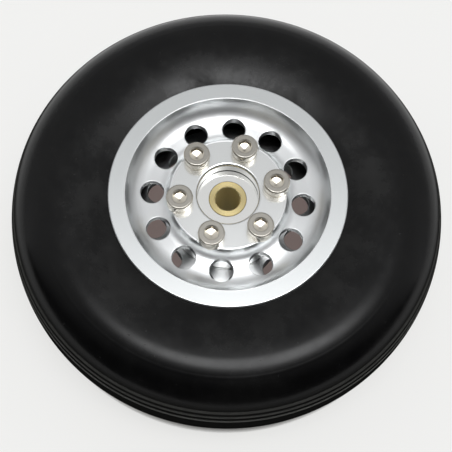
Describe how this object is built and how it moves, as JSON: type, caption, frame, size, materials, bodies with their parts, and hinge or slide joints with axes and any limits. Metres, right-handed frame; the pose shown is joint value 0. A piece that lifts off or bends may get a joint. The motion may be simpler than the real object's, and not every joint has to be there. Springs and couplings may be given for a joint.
{
  "type": "aircraft wheel",
  "caption": "Model aircraft wheel with a smooth balloon tyre, ribbed tread, and a two-part drilled metal hub clamped by cap screws round a brass axle bush.",
  "frame": {"origin": "on the axle bore's axis, at the tyre's mid-plane", "axes": "+Z along the axle bore, out of the shallow side of the hub where the screw heads are; the wheel lies on its other sidewall, and its first lightening hole is on +X"},
  "size_m": [0.0888, 0.0888, 0.0279],
  "materials": {
    "rubber": "moulded black rubber, satin, dusty beside the hub",
    "hub_metal": "turned: satin flange face, bright polished dish",
    "bush_metal": "turned brass",
    "screw_metal": "nickel-plated steel"
  },
  "bodies": {
    "root": {"tyre": "rubber", "front_hub_half": "hub_metal", "rear_hub_half": "hub_metal", "axle_bush": "bush_metal", "clamp_screw_1": "screw_metal", "clamp_screw_2": "screw_metal", "clamp_screw_3": "screw_metal", "clamp_screw_4": "screw_metal", "clamp_screw_5": "screw_metal", "clamp_screw_6": "screw_metal"}
  },
  "joints": []
}
